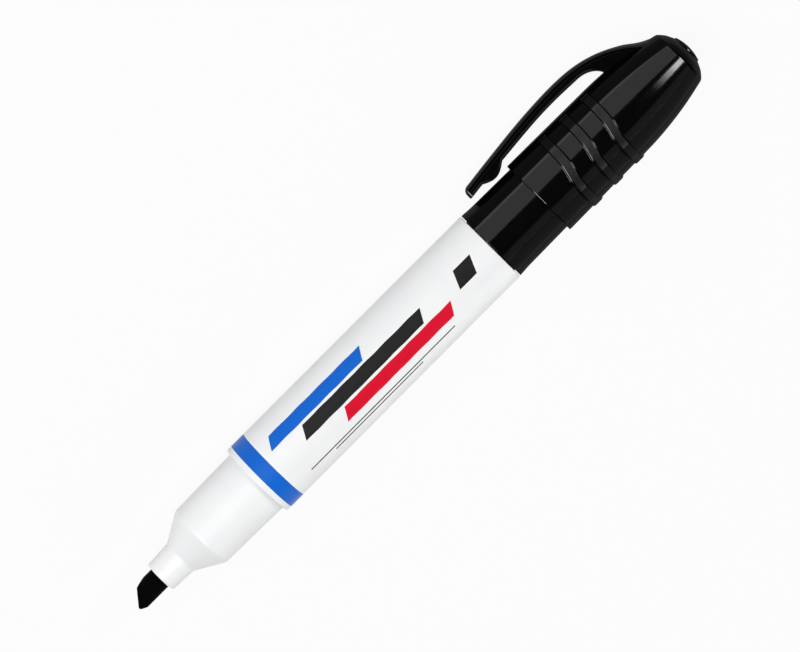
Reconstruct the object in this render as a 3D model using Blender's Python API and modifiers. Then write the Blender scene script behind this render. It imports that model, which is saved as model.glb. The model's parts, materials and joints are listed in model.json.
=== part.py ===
"""Felt tip marker lying on a table with its cap posted on the tail.

Lengths are in metres. Each piece is modelled upright on the marker's own axis: local z runs from the
barrel's front shoulder (z = 0) towards the cap, and local x points at the pocket clip. One parent empty
then lays the marker down, with the nib towards +X and the clip's edge on the table.
"""

import math

import bmesh
import bpy
from mathutils import Matrix, Vector

# Barrel
BARREL_LENGTH = 0.0621
BARREL_RADIUS = 0.0080
BARREL_DRAFT = 0.00007
BARREL_WALL = 0.0014
BARREL_EDGE = 0.00025
CENTRING_RIB_COUNT = 4
CENTRING_RIB_WIDTH = 0.0008

# Nose
SHOULDER_WIDTH = 0.00095
NOSE_SEAT_DEPTH = 0.0012
NOSE_BASE_LENGTH = 0.0149
NOSE_BASE_DRAFT = 0.00025
NOSE_CONE_LENGTH = 0.0052
NECK_LENGTH = 0.00585
NECK_WALL = 0.00084
NECK_DRAFT = 0.00028
NECK_ROUND = 0.0004
NOSE_WALL = 0.0012
NOSE_SPIGOT_LENGTH = 0.0090

# Nib
NIB_RADIUS = 0.00228
NIB_EXPOSED = 0.00655
NIB_INSERTION = 0.0065
NIB_TAIL_CHAMFER = 0.0008
CHISEL_ANGLE = math.radians(52)
CHISEL_OFFSET = 0.0016
CHISEL_THICKNESS = 0.0015
CHISEL_LENGTH = 0.0056

# Ink reservoir and its film
RESERVOIR_AIR_GAP = 0.0014
FILM_WALL = 0.0002

# Tail plug
TAIL_STEP = 0.00006
TAIL_ROOT_LENGTH = 0.0024
TAIL_ROOT_DROP = 0.00015
TAIL_EXPOSED = 0.0131
TAIL_TAPER = 0.00013
TAIL_HIDDEN = 0.0100
TAIL_HIDDEN_TAPER = 0.00010
TAIL_ROUND = 0.0012
TAIL_FLOOR = 0.0013
TAIL_SPIGOT_LENGTH = 0.0090

# Cap shell, measured from its mouth
CAP_LENGTH = 0.0397
CAP_LIP = 0.00060
CAP_EDGE = 0.0002
CAP_STRAIGHT = 0.0194
CAP_DRAFT = 0.00017
CAP_WALL = 0.00105
CROWN_RISE = 0.0028
CROWN_DROP = 0.00222
CROWN_EDGE = 0.00055
GRIP_STEP = 0.0004
WAVE_RIB_COUNT = 3
WAVE_RIB_START = 0.0075
WAVE_RIB_PITCH = 0.00552
WAVE_RIB_WIDTH = 0.00207
WAVE_RIB_HEIGHT = 0.00025
WAVE_RIB_SLOPE = 0.0002
WAVE_SWING = 0.00064
WAVE_SHARPNESS = 1.5
WAVE_PEAK = math.radians(51.5)

# Seal cup inside the cap
SEAL_CUP_WALL = 0.0008
SEAL_CUP_FLOOR = 0.0012
SEAL_CUP_LENGTH = 0.0172
SEAL_CUP_LEAD = 0.0004
SEAL_POCKET_DEPTH = 0.0017
CROWN_THICKNESS = 0.0028

# Pocket clip: distances along the cap from its mouth, and heights above the mouth's rim
CLIP_WIDTH = 0.0055
CLIP_CORE_WIDTH = 0.0043
CLIP_PLATE = 0.0008
CLIP_THICKNESS = 0.0024
CLIP_OVERHANG = 0.0094
CLIP_TIP_HEIGHT = 0.0026
CLIP_TIP_ROUND = 0.0011
CLIP_TIP_UNDERSIDE = 0.00045
CLIP_TIP_SETBACK = 0.0003
CLIP_PAD_HEIGHT = 0.00005
CLIP_PAD_LENGTH = 0.0060
CLIP_PAD_STEP = 0.0009
CLIP_MOUTH_HEIGHT = 0.00372
CLIP_CREST_HEIGHT = 0.00482
CLIP_CREST_PLACE = 0.0160
CLIP_HINGE_HEIGHT = 0.00418
CLIP_HINGE_PLACE = 0.0230
CLIP_ROOT_OPENING = 0.0020
CLIP_ROOT_CURVE = 0.0005
CLIP_ROOT_LENGTH = 0.0120
CLIP_ROOT_BULGE = 0.0019
CLIP_HINGE_GAP = 0.0003

# Fits
CLEARANCE = 0.0002
MERGE = 0.000001
SEGMENTS = 56
CUTTER_SIZE = 0.0140
CREASE_ANGLE = math.radians(40)
CROWN_POINTS = 6
DOME_POINTS = 4
CURVE_STEPS = 5

# Radii and places that follow from the sizes above
BARREL_REAR_RADIUS = BARREL_RADIUS - BARREL_DRAFT
BORE_RADIUS = BARREL_RADIUS - BARREL_WALL
SPIGOT_RADIUS = BORE_RADIUS - CLEARANCE
FILM_RADIUS = BORE_RADIUS - RESERVOIR_AIR_GAP
FILM_BORE = FILM_RADIUS - FILM_WALL
RESERVOIR_RADIUS = FILM_BORE - CLEARANCE
RESERVOIR_POCKET = FILM_RADIUS + CLEARANCE
NOSE_BASE_RADIUS = BARREL_RADIUS - SHOULDER_WIDTH
NOSE_CONE_RADIUS = NOSE_BASE_RADIUS - NOSE_BASE_DRAFT
NIB_BORE = NIB_RADIUS + CLEARANCE
NECK_RADIUS = NIB_BORE + NECK_WALL
NECK_REAR_RADIUS = NECK_RADIUS + NECK_DRAFT
CONE_END = -NOSE_BASE_LENGTH
NECK_END = CONE_END - NOSE_CONE_LENGTH
NOSE_FRONT = NECK_END - NECK_LENGTH
NIB_TIP = NOSE_FRONT - NIB_EXPOSED
RESERVOIR_FRONT = CONE_END + NOSE_WALL + CLEARANCE
NIB_REAR = RESERVOIR_FRONT + NIB_INSERTION
MOUTH = BARREL_LENGTH + TAIL_EXPOSED
TAIL_END = MOUTH + TAIL_HIDDEN
TAIL_ROOT_RADIUS = BARREL_REAR_RADIUS - TAIL_STEP
TAIL_BODY_RADIUS = TAIL_ROOT_RADIUS - TAIL_ROOT_DROP
TAIL_MOUTH_RADIUS = TAIL_BODY_RADIUS - TAIL_TAPER
TAIL_END_RADIUS = TAIL_MOUTH_RADIUS - TAIL_HIDDEN_TAPER
RESERVOIR_REAR = TAIL_END - TAIL_FLOOR - CLEARANCE
MOUTH_BORE = TAIL_MOUTH_RADIUS + CLEARANCE
POST_BORE = TAIL_END_RADIUS + CLEARANCE
POST_DEPTH = TAIL_HIDDEN + CLEARANCE
MOUTH_RADIUS = MOUTH_BORE + CAP_LIP
CAP_WAIST_RADIUS = MOUTH_RADIUS - CAP_DRAFT
CROWN_START = CAP_LENGTH - CROWN_RISE
CROWN_RADIUS = CAP_WAIST_RADIUS - CROWN_DROP
DOME_RADIUS = CROWN_RADIUS - CROWN_EDGE
SEAL_CUP_BORE = NECK_REAR_RADIUS + CLEARANCE
SEAL_CUP_RADIUS = SEAL_CUP_BORE + SEAL_CUP_WALL
SEAL_POCKET_RADIUS = SEAL_CUP_RADIUS + CLEARANCE
SEAL_POCKET_END = CAP_LENGTH - CROWN_THICKNESS
SEAL_CUP_END = SEAL_POCKET_END - CLEARANCE
SEAL_CUP_MOUTH = SEAL_CUP_END - SEAL_CUP_LENGTH

# Lying on the table: the cap's ribs and the clip's crest edge both touch it
RIB_RADIUS = MOUTH_RADIUS + WAVE_RIB_HEIGHT
CREST_RADIUS = MOUTH_RADIUS + CLIP_CREST_HEIGHT
CREST_EDGE = math.hypot(CREST_RADIUS, CLIP_WIDTH / 2)
CLIP_ROLL = math.atan2(CLIP_WIDTH / 2, CREST_RADIUS) + math.acos(RIB_RADIUS / CREST_EDGE)
CLIP_REACH = CREST_RADIUS * math.sin(CLIP_ROLL) + CLIP_WIDTH / 2 * math.cos(CLIP_ROLL)
AXIS_MIDDLE = (NIB_TIP + MOUTH + CAP_LENGTH) / 2


def empty(name, parent, place):
    """A parent empty at a place on the marker."""
    obj = bpy.data.objects.new(name, None)
    bpy.context.scene.collection.objects.link(obj)
    obj.parent = parent
    obj.location = place
    return obj


def finish(obj, material):
    """Gives a piece its material and smooth shading with crisp edges."""
    obj.data.materials.append(material)
    obj.data.shade_smooth()
    obj.data.set_sharp_from_angle(angle=CREASE_ANGLE)
    return obj


def plastic(name, colour, roughness):
    """A plain Principled material."""
    material = bpy.data.materials.new(name)
    material.use_nodes = True
    shader = material.node_tree.nodes["Principled BSDF"]
    shader.inputs["Base Color"].default_value = (*colour, 1)
    shader.inputs["Roughness"].default_value = roughness
    shader.inputs["Metallic"].default_value = 0
    return material


def mesh_object(name, mesh, parent, collection):
    """A mesh as an object of a collection, under its parent."""
    obj = bpy.data.objects.new(name, mesh)
    collection.objects.link(obj)
    obj.parent = parent
    return obj


def turned(name, profile, parent, collection):
    """Turns a profile of (radius, z) points, which runs down its outer side, about the axis."""
    mesh = bpy.data.meshes.new(name)
    edges = [(i, i + 1) for i in range(len(profile) - 1)]
    if profile[0][0] > 0:
        edges.append((len(profile) - 1, 0))
    mesh.from_pydata([(radius, 0, z) for radius, z in profile], edges, [])
    obj = mesh_object(name, mesh, parent, collection)
    screw = obj.modifiers.new("turn", "SCREW")
    screw.steps = SEGMENTS
    screw.render_steps = SEGMENTS
    screw.use_merge_vertices = True
    screw.merge_threshold = MERGE
    return obj


def applied(obj):
    """Keeps an object's evaluated mesh in place of its modifiers or its curve."""
    bpy.context.view_layer.update()
    graph = bpy.context.evaluated_depsgraph_get()
    mesh = bpy.data.meshes.new_from_object(obj.evaluated_get(graph))
    mesh.name = obj.name
    return mesh


def baked(obj):
    """Applies an object's modifiers to its own mesh."""
    mesh = applied(obj)
    obj.modifiers.clear()
    obj.data = mesh
    return obj


def as_helper(obj):
    """Marks a cutter or a shape that is joined into another piece."""
    obj.hide_render = True
    obj.display_type = "WIRE"
    return obj


def combine(obj, other, operation):
    """Joins a helper to a piece, or cuts it away."""
    boolean = obj.modifiers.new(other.name, "BOOLEAN")
    boolean.operation = operation
    boolean.object = as_helper(other)


def boxes(name, places, size, parent, collection):
    """Equal boxes in one mesh, one at each place."""
    mesh = bpy.data.meshes.new(name)
    shape = bmesh.new()
    for place in places:
        bmesh.ops.create_cube(shape, size=1, matrix=place @ Matrix.Diagonal((*size, 1)))
    shape.to_mesh(mesh)
    shape.free()
    return mesh_object(name, mesh, parent, collection)


def side_plate(name, outline, width, parent, collection):
    """Extrudes an outline in the clip's plane, of (along, radius, handle) points, to a width."""
    curve = bpy.data.curves.new(name, "CURVE")
    curve.dimensions = "2D"
    curve.fill_mode = "BOTH"
    curve.extrude = width / 2
    curve.resolution_u = CURVE_STEPS
    spline = curve.splines.new("BEZIER")
    spline.bezier_points.add(len(outline) - 1)
    spline.use_cyclic_u = True
    for point, (along, radius, handle) in zip(spline.bezier_points, outline):
        point.co = (along, radius, 0)
        point.handle_left_type = handle
        point.handle_right_type = handle
    guide = bpy.data.objects.new(name + "_outline", curve)
    collection.objects.link(guide)
    mesh = applied(guide)
    bpy.data.objects.remove(guide)
    shape = bmesh.new()
    shape.from_mesh(mesh)
    bmesh.ops.remove_doubles(shape, verts=shape.verts, dist=MERGE)
    upright = Matrix(((0, 1, 0), (0, 0, 1), (1, 0, 0))).to_4x4()
    bmesh.ops.transform(shape, matrix=upright, verts=shape.verts)
    bmesh.ops.recalc_face_normals(shape, faces=shape.faces)
    shape.to_mesh(mesh)
    shape.free()
    return mesh_object(name, mesh, parent, collection)


def make_barrel(parent, parts, cutters, material):
    """A tube with a counterbored front face, and ribs inside that centre the reservoir."""
    nose_seat = NOSE_BASE_RADIUS + CLEARANCE
    barrel = turned("barrel", [
        (BARREL_REAR_RADIUS - BARREL_EDGE, BARREL_LENGTH),
        (BARREL_REAR_RADIUS, BARREL_LENGTH - BARREL_EDGE),
        (BARREL_RADIUS, BARREL_EDGE),
        (BARREL_RADIUS - BARREL_EDGE, 0),
        (nose_seat, 0),
        (nose_seat, NOSE_SEAT_DEPTH),
        (BORE_RADIUS, NOSE_SEAT_DEPTH),
        (BORE_RADIUS, BARREL_LENGTH),
    ], parent, parts)
    front = NOSE_SPIGOT_LENGTH + CLEARANCE
    rear = BARREL_LENGTH - TAIL_SPIGOT_LENGTH - CLEARANCE
    depth = BORE_RADIUS + BARREL_WALL / 2 - RESERVOIR_POCKET
    middle = Matrix.Translation((RESERVOIR_POCKET + depth / 2, 0, (front + rear) / 2))
    step = 2 * math.pi / CENTRING_RIB_COUNT
    places = [Matrix.Rotation(i * step, 4, "Z") @ middle for i in range(CENTRING_RIB_COUNT)]
    size = (depth, CENTRING_RIB_WIDTH, rear - front)
    combine(barrel, boxes("centring_ribs", places, size, parent, cutters), "UNION")
    return finish(barrel, material)


def make_nose(parent, parts, material):
    """The tip holder: a spigot in the barrel, a base, a cone and a neck round the nib."""
    seat = NOSE_SEAT_DEPTH - CLEARANCE
    nose = turned("tip_holder", [
        (SPIGOT_RADIUS - BARREL_EDGE, NOSE_SPIGOT_LENGTH),
        (SPIGOT_RADIUS, NOSE_SPIGOT_LENGTH - BARREL_EDGE),
        (SPIGOT_RADIUS, seat),
        (NOSE_BASE_RADIUS, seat),
        (NOSE_BASE_RADIUS, 0),
        (NOSE_CONE_RADIUS, CONE_END),
        (NECK_REAR_RADIUS, NECK_END),
        (NECK_RADIUS, NOSE_FRONT + NECK_ROUND),
        (NECK_RADIUS - NECK_ROUND, NOSE_FRONT),
        (NIB_BORE, NOSE_FRONT),
        (NIB_BORE, NECK_END + NOSE_WALL),
        (RESERVOIR_POCKET, CONE_END + NOSE_WALL),
        (RESERVOIR_POCKET, NOSE_SPIGOT_LENGTH),
    ], parent, parts)
    return finish(nose, material)


def make_nib(parent, parts, cutters, material):
    """A round felt rod with two flats and a slanted writing edge, its tail in the reservoir."""
    nib = turned("nib", [
        (0, NIB_REAR),
        (NIB_RADIUS - NIB_TAIL_CHAMFER, NIB_REAR),
        (NIB_RADIUS, NIB_REAR - NIB_TAIL_CHAMFER),
        (NIB_RADIUS, NIB_TIP),
        (0, NIB_TIP),
    ], parent, parts)
    block = CUTTER_SIZE
    outward = Matrix.Translation((0, 0, -block / 2))
    edge = Matrix.Translation((-CHISEL_OFFSET, 0, NIB_TIP))
    slant = edge @ Matrix.Rotation(CHISEL_ANGLE - math.pi / 2, 4, "Y") @ outward
    combine(nib, boxes("slant_cut", [slant], (block, block, block), parent, cutters), "DIFFERENCE")
    lean = math.atan2(NIB_RADIUS - CHISEL_THICKNESS / 2, CHISEL_LENGTH)
    for side in (-1, 1):
        face = Matrix.Translation((0, side * CHISEL_THICKNESS / 2, NIB_TIP))
        away = Matrix.Translation((0, side * block / 2, 0))
        place = face @ Matrix.Rotation(-side * lean, 4, "X") @ away
        cut = boxes("flat_cut", [place], (block, block, 2 * block), parent, cutters)
        combine(nib, cut, "DIFFERENCE")
    return finish(nib, material)


def make_reservoir(parent, parts, material):
    """The fibre stick that holds the ink, with the hole that the nib's tail makes in it."""
    reservoir = turned("ink_reservoir", [
        (0, RESERVOIR_REAR),
        (RESERVOIR_RADIUS, RESERVOIR_REAR),
        (RESERVOIR_RADIUS, RESERVOIR_FRONT),
        (NIB_BORE, RESERVOIR_FRONT),
        (NIB_BORE, NIB_REAR + CLEARANCE),
        (0, NIB_REAR + CLEARANCE),
    ], parent, parts)
    return finish(reservoir, material)


def make_film(parent, parts, material):
    """The clear sleeve round the fibre stick."""
    film = turned("reservoir_film", [
        (FILM_RADIUS, RESERVOIR_REAR),
        (FILM_RADIUS, RESERVOIR_FRONT),
        (FILM_BORE, RESERVOIR_FRONT),
        (FILM_BORE, RESERVOIR_REAR),
    ], parent, parts)
    return finish(film, material)


def make_tail(parent, parts, material):
    """The plug that closes the barrel and carries the posted cap on its taper."""
    shoulder = BARREL_LENGTH + CLEARANCE
    spigot_front = BARREL_LENGTH - TAIL_SPIGOT_LENGTH
    tail = turned("tail_plug", [
        (0, TAIL_END),
        (TAIL_END_RADIUS - TAIL_ROUND, TAIL_END),
        (TAIL_END_RADIUS, TAIL_END - TAIL_ROUND),
        (TAIL_MOUTH_RADIUS, MOUTH),
        (TAIL_BODY_RADIUS, BARREL_LENGTH + TAIL_ROOT_LENGTH),
        (TAIL_ROOT_RADIUS, shoulder),
        (SPIGOT_RADIUS, shoulder),
        (SPIGOT_RADIUS, spigot_front + BARREL_EDGE),
        (SPIGOT_RADIUS - BARREL_EDGE, spigot_front),
        (RESERVOIR_POCKET, spigot_front),
        (RESERVOIR_POCKET, TAIL_END - TAIL_FLOOR),
        (0, TAIL_END - TAIL_FLOOR),
    ], parent, parts)
    return finish(tail, material)


def crown_side(share, wall):
    """A point of the cap's curved side, from the straight part (0) to the crown's edge (1)."""
    radius = CAP_WAIST_RADIUS - CROWN_DROP * share**2
    along = CAP_STRAIGHT + (CROWN_START - CAP_STRAIGHT) * share
    return (radius - wall, along)


def crown_dome():
    """The end of the cap, a shallow spherical dome from the axis to the crown's edge."""
    ball = (DOME_RADIUS**2 + CROWN_RISE**2) / (2 * CROWN_RISE)
    lean = math.asin(DOME_RADIUS / ball)
    angles = [lean * i / DOME_POINTS for i in range(DOME_POINTS + 1)]
    rise = CROWN_RISE - CROWN_EDGE
    flatten = rise / (ball - ball * math.cos(lean))
    return [
        (ball * math.sin(angle), CAP_LENGTH - flatten * ball * (1 - math.cos(angle)))
        for angle in angles
    ]


def wave_ribs():
    """The raised ribs' corners on the cap's straight part, from the crown end to the mouth."""
    corners = []
    for i in reversed(range(WAVE_RIB_COUNT)):
        middle = WAVE_RIB_START + i * WAVE_RIB_PITCH
        base = MOUTH_RADIUS - CAP_DRAFT * middle / CAP_STRAIGHT
        half = WAVE_RIB_WIDTH / 2
        top = half - WAVE_RIB_SLOPE
        corners.append((base, middle + half))
        corners.append((base + WAVE_RIB_HEIGHT, middle + top))
        corners.append((base + WAVE_RIB_HEIGHT, middle - top))
        corners.append((base, middle - half))
    return corners


def wave(angle):
    """How far the ribs swing towards the crown at an angle from the clip."""
    swing = math.tanh(WAVE_SHARPNESS * math.cos(2 * (angle - WAVE_PEAK)))
    return WAVE_SWING * swing / math.tanh(WAVE_SHARPNESS)


def swing_ribs(cap):
    """Shifts the turned ribs along the axis, so that they run in waves round the cap."""
    ribs = wave_ribs()
    first = ribs[-1][1] - MERGE
    last = ribs[0][1] + MERGE
    for vertex in cap.data.vertices:
        if first < vertex.co.z < last:
            vertex.co.z += wave(math.atan2(vertex.co.y, vertex.co.x))


def clip_line(drop):
    """The clip's outer line from its hinge to where it runs out on the crown, lowered by a drop."""
    start = CLIP_HINGE_PLACE + CLIP_HINGE_GAP
    end = start + CLIP_ROOT_LENGTH
    share = (end - CAP_STRAIGHT) / (CROWN_START - CAP_STRAIGHT)
    foot = crown_side(share, 0)[0]
    top = MOUTH_RADIUS + CLIP_HINGE_HEIGHT
    middle = (top + foot) / 2 + CLIP_ROOT_BULGE / 2
    return [
        (start, top - drop, "VECTOR"),
        ((start + end) / 2, middle - drop, "AUTO"),
        (end, foot - drop, "VECTOR"),
    ]


def make_cap(parent, parts, cutters, material):
    """The posted cap: a tapering shell with wavy ribs, a domed crown and the clip's fixed root."""
    crown = [crown_side(1 - i / CROWN_POINTS, 0) for i in range(CROWN_POINTS + 1)]
    cap = turned("cap_shell", [
        *crown_dome(),
        *crown,
        *wave_ribs(),
        (MOUTH_RADIUS, CAP_EDGE),
        (MOUTH_RADIUS - CAP_EDGE, 0),
        (0, 0),
    ], parent, parts)
    baked(cap)
    swing_ribs(cap)

    line = clip_line(0)
    start, end = line[0][0], line[-1][0]
    opening_end = start + CLIP_ROOT_OPENING
    buried = SEAL_POCKET_RADIUS / 2
    underside = MOUTH_RADIUS + CLIP_HINGE_HEIGHT - CLIP_THICKNESS
    core = [
        *line,
        (end, buried, "VECTOR"),
        (opening_end, buried, "VECTOR"),
        (opening_end, CAP_WAIST_RADIUS, "VECTOR"),
        (start + CLIP_ROOT_OPENING / 2, underside - CLIP_ROOT_CURVE, "AUTO"),
        (start, underside, "VECTOR"),
    ]
    combine(cap, side_plate("clip_root_core", core, CLIP_CORE_WIDTH, parent, cutters), "UNION")
    plate = line + clip_line(CLIP_PLATE)[::-1]
    combine(cap, side_plate("clip_root_plate", plate, CLIP_WIDTH, parent, cutters), "UNION")

    pocket_front = SEAL_POCKET_END - SEAL_POCKET_DEPTH
    inner = [crown_side(1 - i / CROWN_POINTS, CAP_WALL) for i in range(CROWN_POINTS + 1)]
    inner = [point for point in inner if point[1] < pocket_front]
    hollow = turned("cap_hollow", [
        (0, SEAL_POCKET_END),
        (SEAL_POCKET_RADIUS, SEAL_POCKET_END),
        (SEAL_POCKET_RADIUS, pocket_front),
        *inner,
        (CAP_WAIST_RADIUS - CAP_WALL, POST_DEPTH + GRIP_STEP),
        (POST_BORE, POST_DEPTH),
        (MOUTH_BORE, 0),
        (MOUTH_BORE, -CAP_LENGTH),
        (0, -CAP_LENGTH),
    ], parent, cutters)
    combine(cap, hollow, "DIFFERENCE")
    return finish(cap, material)


def make_seal_cup(parent, parts, material):
    """The soft cup in the crown that seals on the neck when the cap covers the nib."""
    cup = turned("inner_seal_cup", [
        (0, SEAL_CUP_END),
        (SEAL_CUP_RADIUS, SEAL_CUP_END),
        (SEAL_CUP_RADIUS, SEAL_CUP_MOUTH),
        (SEAL_CUP_BORE + SEAL_CUP_LEAD, SEAL_CUP_MOUTH),
        (SEAL_CUP_BORE, SEAL_CUP_MOUTH + SEAL_CUP_LEAD),
        (SEAL_CUP_BORE, SEAL_CUP_END - SEAL_CUP_FLOOR),
        (0, SEAL_CUP_END - SEAL_CUP_FLOOR),
    ], parent, parts)
    return finish(cup, material)


def make_clip(hinge, parts, cutters, material):
    """The springy arm of the clip: a strap on a narrower core, with a gripping pad near its tip."""
    tip = -CLIP_OVERHANG
    rim = MOUTH_RADIUS
    top = [
        (tip + CLIP_TIP_ROUND, rim + CLIP_TIP_HEIGHT, "VECTOR"),
        (0, rim + CLIP_MOUTH_HEIGHT, "AUTO"),
        (CLIP_CREST_PLACE, rim + CLIP_CREST_HEIGHT, "AUTO"),
        (CLIP_HINGE_PLACE, rim + CLIP_HINGE_HEIGHT, "VECTOR"),
    ]
    under = [
        (CLIP_HINGE_PLACE, rim + CLIP_HINGE_HEIGHT - CLIP_THICKNESS, "VECTOR"),
        (CLIP_CREST_PLACE, rim + CLIP_CREST_HEIGHT - CLIP_THICKNESS, "AUTO"),
        (0, rim + CLIP_MOUTH_HEIGHT - CLIP_THICKNESS, "VECTOR"),
    ]
    pad_start = -CLIP_PAD_LENGTH
    tip_line = [
        (pad_start / 2, rim + CLIP_PAD_HEIGHT, "AUTO"),
        (pad_start, rim + CLIP_PAD_STEP, "VECTOR"),
        (tip + CLIP_TIP_SETBACK, rim + CLIP_TIP_UNDERSIDE, "VECTOR"),
        (tip, rim + CLIP_TIP_HEIGHT - CLIP_TIP_ROUND, "AUTO"),
    ]
    clip = side_plate("pocket_clip", top + under + tip_line, CLIP_CORE_WIDTH, hinge, parts)
    lowered = [(along, radius - CLIP_PLATE, handle) for along, radius, handle in reversed(top)]
    plate = side_plate("clip_plate", top + lowered, CLIP_WIDTH, hinge, cutters)
    for piece in (clip, plate):
        piece.location = -Vector(hinge.location)
    combine(clip, plate, "UNION")
    return finish(clip, material)


for stale in list(bpy.data.objects):
    bpy.data.objects.remove(stale)

parts = bpy.data.collections.new("felt_tip_marker")
cutters = bpy.data.collections.new("cutters")
for collection in (parts, cutters):
    bpy.context.scene.collection.children.link(collection)

white = plastic("white_plastic", (0.86, 0.86, 0.85), 0.35)
black = plastic("black_plastic", (0.008, 0.008, 0.009), 0.15)
felt = plastic("black_felt", (0.012, 0.012, 0.014), 0.9)
fibre = plastic("inked_fibre", (0.02, 0.02, 0.025), 0.95)
clear = plastic("clear_film", (0.75, 0.78, 0.8), 0.2)
soft = plastic("soft_white_plastic", (0.8, 0.8, 0.78), 0.5)

marker = empty("marker_axis", None, (
    AXIS_MIDDLE,
    (CLIP_REACH - RIB_RADIUS) / 2,
    RIB_RADIUS,
))
lay_down = Matrix.Rotation(math.pi - CLIP_ROLL, 4, "X") @ Matrix.Rotation(-math.pi / 2, 4, "Y")
marker.rotation_euler = lay_down.to_euler()
cap_slide = empty("cap_slide", marker, (0, 0, MOUTH))
hinge_radius = MOUTH_RADIUS + CLIP_HINGE_HEIGHT - CLIP_THICKNESS / 2
clip_hinge = empty("clip_hinge", cap_slide, (hinge_radius, 0, CLIP_HINGE_PLACE))

make_barrel(marker, parts, cutters, white)
make_nose(marker, parts, white)
make_nib(marker, parts, cutters, felt)
make_reservoir(marker, parts, fibre)
make_film(marker, parts, clear)
make_tail(marker, parts, black)
make_cap(cap_slide, parts, cutters, black)
make_seal_cup(cap_slide, parts, soft)
make_clip(clip_hinge, parts, cutters, black)
bpy.context.view_layer.update()
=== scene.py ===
"""Looks of a felt tip marker with its cap posted on the tail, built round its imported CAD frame."""

import json
import math

import bmesh
import bpy
from mathutils import Matrix, Vector

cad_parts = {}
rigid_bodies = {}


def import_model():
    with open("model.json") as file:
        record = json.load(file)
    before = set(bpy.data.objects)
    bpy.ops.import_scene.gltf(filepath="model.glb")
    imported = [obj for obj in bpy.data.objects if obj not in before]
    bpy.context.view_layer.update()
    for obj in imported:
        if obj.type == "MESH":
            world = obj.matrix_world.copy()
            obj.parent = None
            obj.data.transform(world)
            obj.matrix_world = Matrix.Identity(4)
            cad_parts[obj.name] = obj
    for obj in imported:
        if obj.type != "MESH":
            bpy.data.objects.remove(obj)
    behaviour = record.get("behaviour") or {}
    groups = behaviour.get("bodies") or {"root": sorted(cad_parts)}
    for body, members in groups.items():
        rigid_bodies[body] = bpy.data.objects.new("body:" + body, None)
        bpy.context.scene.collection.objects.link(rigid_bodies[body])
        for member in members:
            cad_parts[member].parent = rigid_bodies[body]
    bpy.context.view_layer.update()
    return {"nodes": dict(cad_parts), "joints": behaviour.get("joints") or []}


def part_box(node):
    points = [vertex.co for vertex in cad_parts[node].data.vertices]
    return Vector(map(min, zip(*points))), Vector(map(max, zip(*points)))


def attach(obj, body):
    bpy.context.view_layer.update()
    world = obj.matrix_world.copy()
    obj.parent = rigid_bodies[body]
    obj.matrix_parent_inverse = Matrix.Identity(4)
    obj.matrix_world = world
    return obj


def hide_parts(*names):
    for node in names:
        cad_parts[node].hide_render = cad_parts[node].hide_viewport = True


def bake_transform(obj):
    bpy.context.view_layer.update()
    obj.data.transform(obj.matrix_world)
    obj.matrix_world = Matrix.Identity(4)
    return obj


# How the marker lies
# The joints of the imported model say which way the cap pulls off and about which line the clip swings.
# The marker's own directions follow: x to the clip, y to the photographed side, z to the cap, in mm.
for leftover in list(bpy.data.objects):
    bpy.data.objects.remove(leftover)
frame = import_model()
joints = {joint["name"]: joint for joint in frame["joints"]}
to_cap = Vector(joints["cap_pull"]["axis"]).normalized()
to_viewer = -Vector(joints["clip_flex"]["axis"]).normalized()
to_clip = to_viewer.cross(to_cap)
barrel_low, barrel_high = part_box("barrel")
shoulder = (barrel_low + barrel_high) / 2
shoulder.x = barrel_high.x
lying = Matrix((to_clip, to_viewer, to_cap)).transposed().to_4x4()
lying.translation = shoulder
MM = 0.001


def along_axis(x):
    """Where a place on the table's X line falls on the marker's axis, in mm from the barrel's shoulder."""
    return (shoulder.x - x) / MM


# Ink reservoir and its sleeve
# A stick of bundled polyester fibre, soaked with black ink, fills the barrel and feeds the nib.
# A clear film is wrapped round it so that the ink stays off the barrel's wall. Both keep the CAD shape.
INKED_FIBRE = (0.012, 0.012, 0.016)
FIBRE_HIGHLIGHT = (0.035, 0.036, 0.045)
FILM_TINT = (0.80, 0.83, 0.86)
FILM_SHADE = (0.70, 0.74, 0.78)
FILM_CLEARNESS = 0.9
CLOUDS_PER_MM = 0.12
CLOUD_DETAIL = 3.0
CLOUD_SHADE_END = 0.3
CLOUD_COLOUR_START = 0.65
RELIEF_DETAIL = 4.0
RELIEF_LOW = 0.3
RELIEF_HIGH = 0.7


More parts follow.
